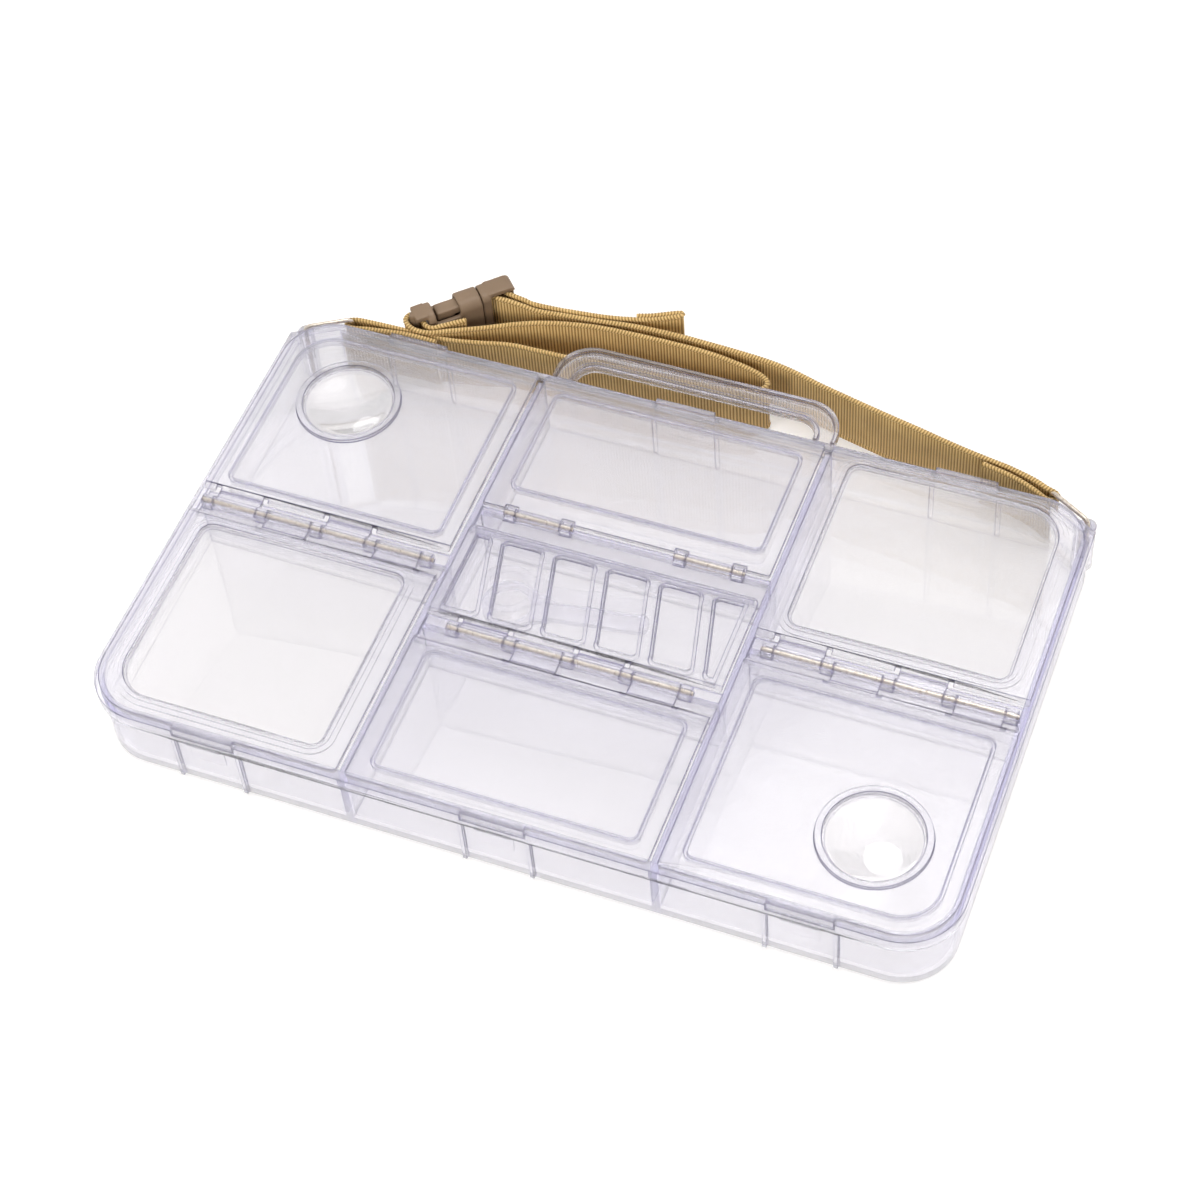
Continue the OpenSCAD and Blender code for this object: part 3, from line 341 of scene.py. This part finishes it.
def add_room():
    """Even light all round, and a white room with a dim lower band for rays of sight."""
    world = bpy.data.worlds.new("room")
    bpy.context.scene.world = world
    world.use_nodes = True
    nodes = Nodes(world.node_tree)
    way = nodes.add("ShaderNodeTexCoord", output="Generated")
    height = nodes.add("ShaderNodeSeparateXYZ", inputs={0: way}, output="Z")
    seen = nodes.ramp(height, [
        (0.0, (0.7, 0.66, 0.68)), (0.35, (0.78, 0.74, 0.74)), (0.7, (1.0, 1.0, 1.0))])
    lit = nodes.add("ShaderNodeBackground", inputs={"Color": (1.0, 1.0, 1.0, 1.0), "Strength": 0.25})
    sight = nodes.add("ShaderNodeBackground", inputs={"Color": seen})
    mixed = nodes.add("ShaderNodeMixShader", inputs={0: nodes.sight_rays(), 1: lit, 2: sight})
    nodes.tree.links.new(mixed.socket, nodes.tree.nodes["World Output"].inputs["Surface"])


def add_floor():
    """Pale floor that looks white to rays of sight and keeps the box's shadow."""
    build = bmesh.new()
    bmesh.ops.create_grid(build, x_segments=1, y_segments=1, size=6.0)
    bmesh.ops.translate(build, verts=build.verts, vec=(0, 0, -0.0005))
    floor = finished("floor", build)
    finish = Finish("floor_paper")
    finish.set({"Base Color": (0.82, 0.81, 0.79, 1.0), "Roughness": 0.9, "Specular IOR Level": 0.0})
    glow = finish.add("ShaderNodeEmission", inputs={
        "Color": (1.0, 0.98, 0.95, 1.0), "Strength": finish.sight_rays() * 0.35})
    paper = Value(finish.tree, finish.shader.outputs[0])
    finish.surface(finish.add("ShaderNodeAddShader", inputs={0: paper, 1: glow}))
    floor.data.materials.append(finish.material)


# Making pieces


def finished(name, build, smooth_below=None):
    """Turn a bmesh into an object; edges under the angle are smooth."""
    if smooth_below is not None:
        for face in build.faces:
            face.smooth = True
        limit = math.radians(smooth_below)
        for edge in build.edges:
            edge.smooth = len(edge.link_faces) == 2 and edge.calc_face_angle(math.pi) < limit
    mesh = bpy.data.meshes.new(name)
    build.to_mesh(mesh)
    build.free()
    piece = bpy.data.objects.new(name, mesh)
    bpy.context.scene.collection.objects.link(piece)
    return piece


def dress(piece, node, finish):
    """Give a piece its finish and its node's slot, and let it stand for the node on its body."""
    piece.data.materials.clear()
    piece.data.materials.append(finish)
    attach(piece, BODY_OF[node])
    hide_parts(node)


def softened(node, finish, width=0.0, smooth_below=30, shape=None, painted_edge_finish=None):
    """A copy of a node's solid with its sharp edges rounded wherever both faces leave room.

    shape alters the copy before that, and painted_edge_finish, a painted violet edge tint, covers the
    roundings.
    """
    build = bmesh.new()
    build.from_mesh(frame["nodes"][node].data)
    bmesh.ops.remove_doubles(build, verts=build.verts, dist=MERGE * MM)
    bmesh.ops.dissolve_limit(build, angle_limit=math.radians(0.3), verts=build.verts, edges=build.edges)
    if shape:
        shape(build)
    weight = build.edges.layers.float.new("bevel_weight_edge")
    for edge in build.edges:
        room = min((face.calc_area() / edge.calc_length() for face in edge.link_faces), default=0.0)
        if edge.calc_face_angle(0.0) > math.radians(smooth_below) and room > ROOM * width * MM:
            edge[weight] = 1.0
    piece = finished(node + "_piece", build, smooth_below)
    dress(piece, node, finish)
    if width:
        rounding = piece.modifiers.new("edges", "BEVEL")
        rounding.width = width * MM
        rounding.segments = 2
        rounding.limit_method = "WEIGHT"
        rounding.use_clamp_overlap = False
        rounding.harden_normals = True
        if painted_edge_finish:
            piece.data.materials.append(painted_edge_finish)
            rounding.material = 1
    return piece


def plug_corners(radius):
    """Shaper that rounds the upper and lower corners at the webbing end of the buckle's plug."""
    turn = math.radians(BUCKLE_ANGLE)
    length = Vector((math.cos(turn), math.sin(turn), 0.0))
    across = Vector((-math.sin(turn), math.cos(turn), 0.0))

    def shape(build):
        end = max(v.co.dot(length) for v in build.verts)
        low, high = (pick(v.co.z for v in build.verts) for pick in (min, max))
        corners = []
        for edge in build.edges:
            a, b = (v.co for v in edge.verts)
            run = (b - a).length
            outermost = min(abs(a.z - low), abs(a.z - high)) < 0.3 * MM
            at_end = end - a.dot(length) < 0.4 * MM
            crosswise = run > MM and abs((b - a).dot(across)) > 0.95 * run
            if outermost and at_end and crosswise:
                corners.append(edge)
        bmesh.ops.bevel(build, geom=corners, offset=radius * MM, offset_type="OFFSET", segments=6,
                        profile=0.5, affect="EDGES", material=-1, clamp_overlap=True)
        bmesh.ops.remove_doubles(build, verts=build.verts, dist=MERGE * MM)

    return shape


def moulded_round(node, finish, shape=None):
    """A copy of a node's solid with every edge and corner worn round, as on a soft moulding."""
    piece = softened(node, finish, shape=shape)
    skin = piece.modifiers.new("skin", "REMESH")
    skin.mode = "VOXEL"
    skin.voxel_size = BUCKLE_GRAIN * MM
    skin.use_smooth_shade = True
    worn = piece.modifiers.new("worn", "SMOOTH")
    worn.factor = 0.5
    worn.iterations = BUCKLE_WEAR


def spun_lens(node, finish):
    """Round lens turned from its profile: a flange between two domes."""
    low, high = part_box(node)
    middle = (low + high) / 2
    flange = (high.x - low.x) / 2
    dome = flange - FLANGE_WIDTH * MM
    seat = LENS_SEAT * MM
    top = seat + FLANGE_THICKNESS * MM
    rim = FLANGE_ROUNDING * MM
    steps = 14

    def dome_arc(rise, base, way):
        """Radius and height from near the dome's peak out to its foot."""
        ball = (dome * dome + rise * rise) / (2 * rise)
        radii = [dome * i / steps for i in range(1, steps + 1)]
        return [(r, base + way * (math.sqrt(ball * ball - r * r) - (ball - rise))) for r in radii]

    profile = [(0.0, low.z)] + dome_arc(seat - low.z, seat, -1)
    profile += [(flange - rim, seat), (flange, seat + rim), (flange, top - rim), (flange - rim, top)]
    profile += dome_arc(high.z - top, top, 1)[::-1] + [(0.0, high.z)]
    build = bmesh.new()
    points = [build.verts.new((middle.x + r, middle.y, z)) for r, z in profile]
    line = [build.edges.new(pair) for pair in zip(points, points[1:])]
    bmesh.ops.spin(build, geom=points + line, cent=(middle.x, middle.y, 0), axis=(0, 0, 1),
                   angle=2 * math.pi, steps=96, use_merge=True, use_duplicate=False)
    bmesh.ops.remove_doubles(build, verts=build.verts, dist=MERGE * MM)
    bmesh.ops.recalc_face_normals(build, faces=build.faces)
    dress(finished(node + "_piece", build, 35), node, finish)


# Webbing: routes in millimetres, as in the construction


def at_leg(side, points):
    return [(side * (LEG_PLACE[0] + x), LEG_PLACE[1] + y, z) for x, y, z in points]


def in_buckle(points):
    c, s = math.cos(math.radians(BUCKLE_ANGLE)), math.sin(math.radians(BUCKLE_ANGLE))
    return [(BUCKLE_PLACE[0] + along * c - across * s, BUCKLE_PLACE[1] + along * s + across * c, z)
            for along, across, z in points]


def behind(points):
    return [(x, HALF_DEPTH + y, z) for x, y, z in points]


LEFT_ROUTE = at_leg(-1, [
    (-34.6, 1.8, 1), (-26, 1.6, 1.6), (-18.6, 1, 1.8), (-6.6, -1.1, 2.1), (-2, -2.1, 2.1),
    (0.6, -2, 2.1), (2.1, -0.6, 2.1), (1.8, 1.1, 2.1), (0, 1.9, 2.1), (-3.6, 2.5, 2.1),
    (-18.6, 3.6, 1.2), (-36, 4.6, 0.2)]) + behind([
    (-90, 10.7, 0.2), (-78, 13.4, 0.2), (-66, 14, 0.2), (-53.6, 14.2, 0.2), (-20, 15, 0.2),
    (6, 16.4, 0.2), (17, 18.6, 0.2), (23, 22.6, 0.2), (22, 27, 0.2), (12, 30.6, 0.2),
    (-8, 33.2, 0.2), (-41, 33, 0.2), (-57, 31.2, 0.2), (-70.6, 27.8, 0.2), (-80, 24, 0.2),
    (-90, 19, 0.2)]) + in_buckle([
    (17.4, -12.1, 1), (11, -10.9, 2), (5, -9.4, 2.5), (0.8, -6.2, 2.5), (-1.2, -2.6, 2.5),
    (-1.4, 0.8, 2.5), (0.3, 2.8, 2.5), (2.9, 2.8, 2.5), (4.5, 0.8, 2.5), (4.6, -2.5, 2.5),
    (4.8, -5.2, 2.5), (6.4, -7.3, 2.5), (10, -8, 2.5), (15, -8.6, 2.5), (20, -9.3, 2.5)])

RIGHT_ROUTE = at_leg(1, [
    (-28, 7.6, 1.2), (-15.6, 4.4, 1.8), (-6.6, 0.6, 2.1), (-2.2, -1.8, 2.1), (0.4, -2.2, 2.1),
    (2.1, -0.8, 2.1), (1.9, 1, 2.1), (0.2, 2, 2.1), (-2.6, 2.9, 2.1), (-8, 5.4, 1.8),
    (-18, 8.6, 1.2), (-25, 10.3, 0.6)]) + behind([
    (100.4, 17, 0.2), (84.4, 20.7, 0.2), (68.5, 24.2, 0.2), (45.7, 29.6, 0.2), (22.6, 35.4, 0.2),
    (-8.8, 37.6, 0.2), (-25, 37.8, 0.2), (-37, 37.2, 0.2), (-48.6, 35.8, 0.2),
    (-61.5, 34.6, 0.2), (-73.8, 33.5, 0.2)]) + in_buckle([
    (43, -10.8, 1.4), (38.6, -7, 2.5), (35.4, -3.8, 2.5), (33.9, -0.6, 2.5), (34.7, 2.1, 2.5),
    (36.9, 2.8, 2.5), (38.9, 1.2, 2.5), (39.4, -1.8, 2.5), (41, -4.8, 2.5), (44.5, -8.6, 1.8)]) \
    + behind([
        (-76, 35.8, 0.8), (-66, 36.6, 0.2), (-61, 37, 0.2), (-49, 38.2, 0.2), (-39, 40, 0.2),
        (-29, 43, 0.2), (-20.8, 47.2, 0.2), (-19.4, 48.5, 0.2), (-20.8, 49.2, 0.2),
        (-29.8, 44.9, 0.2), (-36, 42.7, 0.2)])


def smooth_line(points, spacing, steps=24):
    """Points at an even spacing along a smooth curve through the given points."""
    knots = [Vector(p) for p in points]
    dense = []
    for i in range(len(knots) - 1):
        a, b, c, d = (knots[max(i - 1, 0)], knots[i], knots[i + 1], knots[min(i + 2, len(knots) - 1)])
        for step in range(steps):
            t = step / steps
            dense.append(0.5 * (2 * b + (c - a) * t + (2 * a - 5 * b + 4 * c - d) * t * t
                                + (3 * b - a - 3 * c + d) * t * t * t))
    dense.append(knots[-1])
    lengths = [0.0]
    for a, b in zip(dense, dense[1:]):
        lengths.append(lengths[-1] + (b - a).length)
    count = max(2, round(lengths[-1] / spacing))
    line, at = [], 0
    for i in range(count + 1):
        want = lengths[-1] * i / count
        while at < len(lengths) - 2 and lengths[at + 1] < want:
            at += 1
        share = (want - lengths[at]) / max(lengths[at + 1] - lengths[at], 1e-9)
        line.append(dense[at].lerp(dense[at + 1], min(share, 1.0)))
    return line


def webbing(name, route):
    """Webbing that stands on its edge along a route, with cross ribs and a cord along both edges."""
    line = smooth_line(route, RIB_PITCH / RIB_STEPS)
    flank = WEB_PROFILE + [(WEB_WIDTH - z, half) for z, half in reversed(WEB_PROFILE[:-1])]
    around = flank + [(z, -half) for z, half in reversed(flank[1:-1])]
    count, ring = len(line), len(around)
    build = bmesh.new()
    bmesh.ops.create_grid(build, x_segments=count - 1, y_segments=ring, size=1.0)
    build.verts.index_update()
    for vert in build.verts:
        row, i = divmod(vert.index, count)
        z, half = around[row % ring]
        ahead, behind_it = line[min(i + 1, count - 1)], line[max(i - 1, 0)]
        way = Vector((ahead.x - behind_it.x, ahead.y - behind_it.y)).normalized()
        edge = min(z, WEB_WIDTH - z)
        turn = 2 * math.pi * i / RIB_STEPS
        if edge < CORD_WIDTH:
            swell = 1.0 + CORD_SWELL * math.cos(turn + CORD_SLANT * edge * (1 if half > 0 else -1))
        else:
            swell = 1.0 + RIB_SWELL * math.cos(turn)
        side = half * swell
        vert.co = Vector((line[i].x - way.y * side, line[i].y + way.x * side, line[i].z + z)) * MM
    mapped = build.loops.layers.uv.new("along")
    for face in build.faces:
        for loop in face.loops:
            row, i = divmod(loop.vert.index, count)
            loop[mapped].uv = (i / RIB_STEPS, around[row % ring][0])
    bmesh.ops.remove_doubles(build, verts=build.verts, dist=MERGE * MM / 10)
    bmesh.ops.holes_fill(build, edges=[e for e in build.edges if e.is_boundary], sides=0)
    bmesh.ops.recalc_face_normals(build, faces=build.faces)
    return finished(name, build, 60)


add_camera()
add_room()
add_floor()
add_lamp("overhead", *OVERHEAD_LAMP, mirrored=True)
for place, power in SIDE_LAMPS:
    add_lamp("side_lamp", place, SIDE_LAMP_SIZE, power)

CLEAR = clear_moulding("clear_plastic", CLEAR_TONE, LAMP_TONE)
# The roundings get a painted violet edge tint in place of reflected and refracted dark surroundings
CLEAR_PAINTED_EDGES = clear_moulding("clear_plastic_painted_edges", PAINTED_EDGE_TINT, LAMP_TONE)
LENS_CLEAR = clear_moulding("lens_plastic", LENS_TONE, LENS_LAMP_TONE, haze=0.1, straight=0.25,
                            roughness=0.02, depth_tone=PALE_DEPTH, density=4.0)
STEEL = drawn_steel()
BUCKLE = matte_buckle()
WEBBING = webbing_weave()

for node in CLEAR_MOULDINGS:
    softened(node, CLEAR, CLEAR_ROUNDING, painted_edge_finish=CLEAR_PAINTED_EDGES)
for node in ("window_lens_left", "window_lens_right"):
    softened(node, LENS_CLEAR, smooth_below=20)
for node in ("round_lens_left", "round_lens_right"):
    spun_lens(node, LENS_CLEAR)
softened("hand_lens_frame", CLEAR)
softened("hand_lens_glass", LENS_CLEAR)
for node in STEEL_PIECES:
    softened(node, STEEL, smooth_below=40)
moulded_round("buckle_female", BUCKLE)
moulded_round("buckle_male", BUCKLE, plug_corners(PLUG_CORNER))

left = webbing("strap_left_piece", LEFT_ROUTE)
dress(left, "strap_left", WEBBING)
right = webbing("strap_right_piece", RIGHT_ROUTE)
right.data.materials.append(WEBBING)
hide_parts("strap_right", "webbing_end_right")
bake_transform(right)

scene = bpy.context.scene
scene.view_settings.view_transform = "Standard"
scene.cycles.caustics_refractive = False
scene.cycles.caustics_reflective = False
scene.cycles.max_bounces = LIGHT_BOUNCES
scene.cycles.transmission_bounces = LIGHT_BOUNCES
scene.cycles.transparent_max_bounces = LIGHT_BOUNCES
